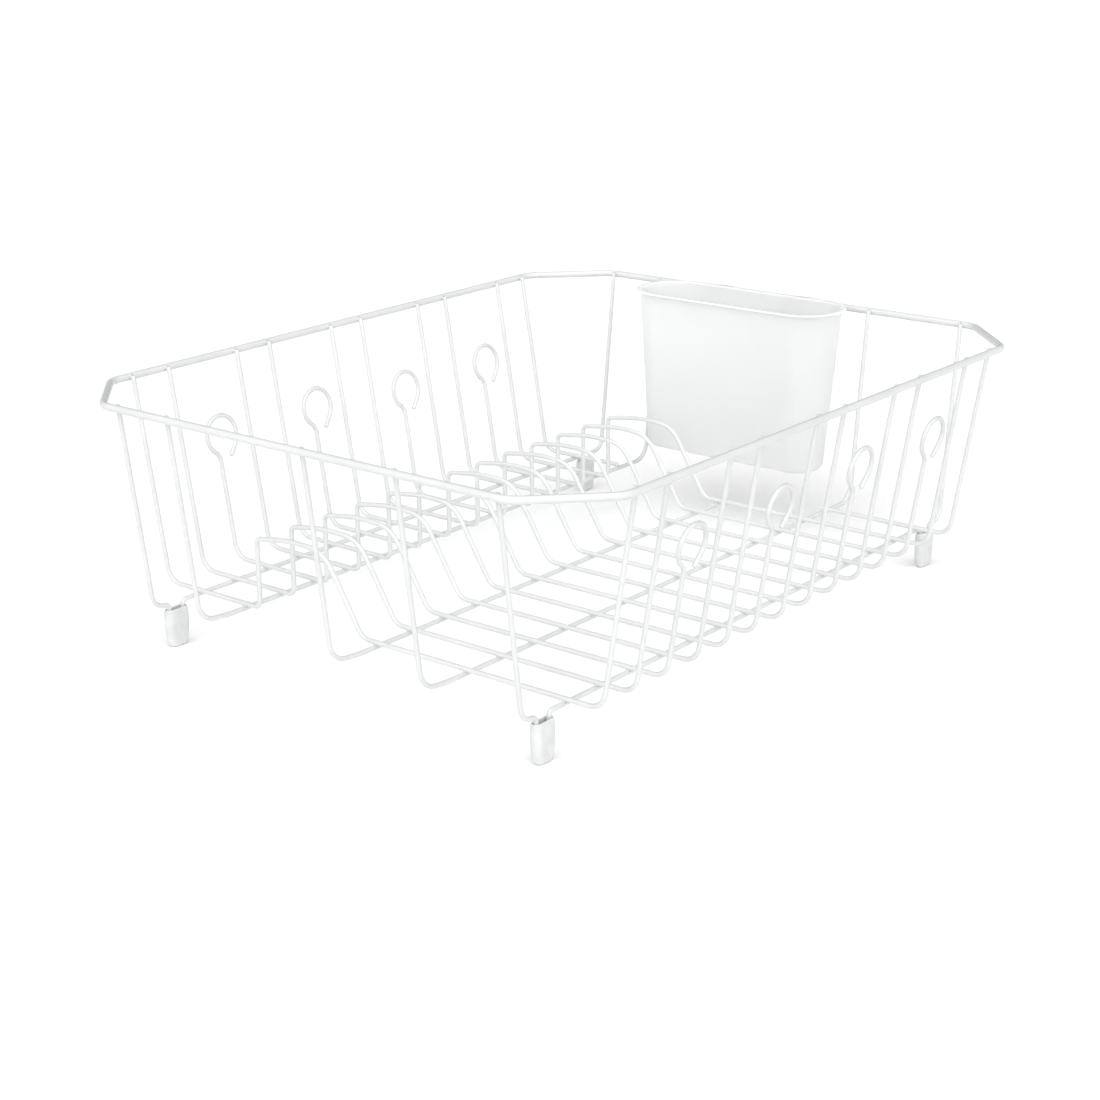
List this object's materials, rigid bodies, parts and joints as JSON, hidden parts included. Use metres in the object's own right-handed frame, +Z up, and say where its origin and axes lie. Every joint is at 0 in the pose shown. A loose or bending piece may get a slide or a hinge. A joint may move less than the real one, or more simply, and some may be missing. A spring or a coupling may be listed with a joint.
{
  "type": "dish drying rack",
  "caption": "White coated wire dish drying rack with a raised plate crest, cup prongs, slip-on feet and a lift-off translucent cutlery cup.",
  "frame": {"origin": "on the worktop under the middle of the whole object", "axes": "+X along the rack towards the end with the cutlery cup, +Y towards the narrow channel's side, +Z up"},
  "size_m": [0.4479, 0.36, 0.1481],
  "materials": {
    "coated_wire": "smooth satin white vinyl coating over steel wire",
    "vinyl_foot": "soft satin white vinyl cap",
    "cup_plastic": "frosted translucent moulded polypropylene"
  },
  "bodies": {
    "rack": {"rim_wire": "coated_wire", "cross_wire_01": "coated_wire", "cross_wire_02": "coated_wire", "cross_wire_03": "coated_wire", "cross_wire_04": "coated_wire", "cross_wire_05": "coated_wire", "cross_wire_06": "coated_wire", "cross_wire_07": "coated_wire", "cross_wire_08": "coated_wire", "cross_wire_09": "coated_wire", "cross_wire_10": "coated_wire", "cross_wire_11": "coated_wire", "cross_wire_12": "coated_wire", "cross_wire_13": "coated_wire", "cross_wire_14_back": "coated_wire", "cross_wire_14_front": "coated_wire", "long_wire_1": "coated_wire", "long_wire_2": "coated_wire", "long_wire_3": "coated_wire", "long_wire_4": "coated_wire", "long_wire_5": "coated_wire", "foot_back_left": "vinyl_foot", "foot_front_left": "vinyl_foot", "foot_back_right": "vinyl_foot", "foot_front_right": "vinyl_foot"},
    "cup": {"cutlery_cup": "cup_plastic"}
  },
  "joints": [
    {"name": "cup_lift", "type": "slide", "parent": "rack", "child": "cup", "axis": [0, 0, 1], "range_m": [0, 0.12]}
  ]
}
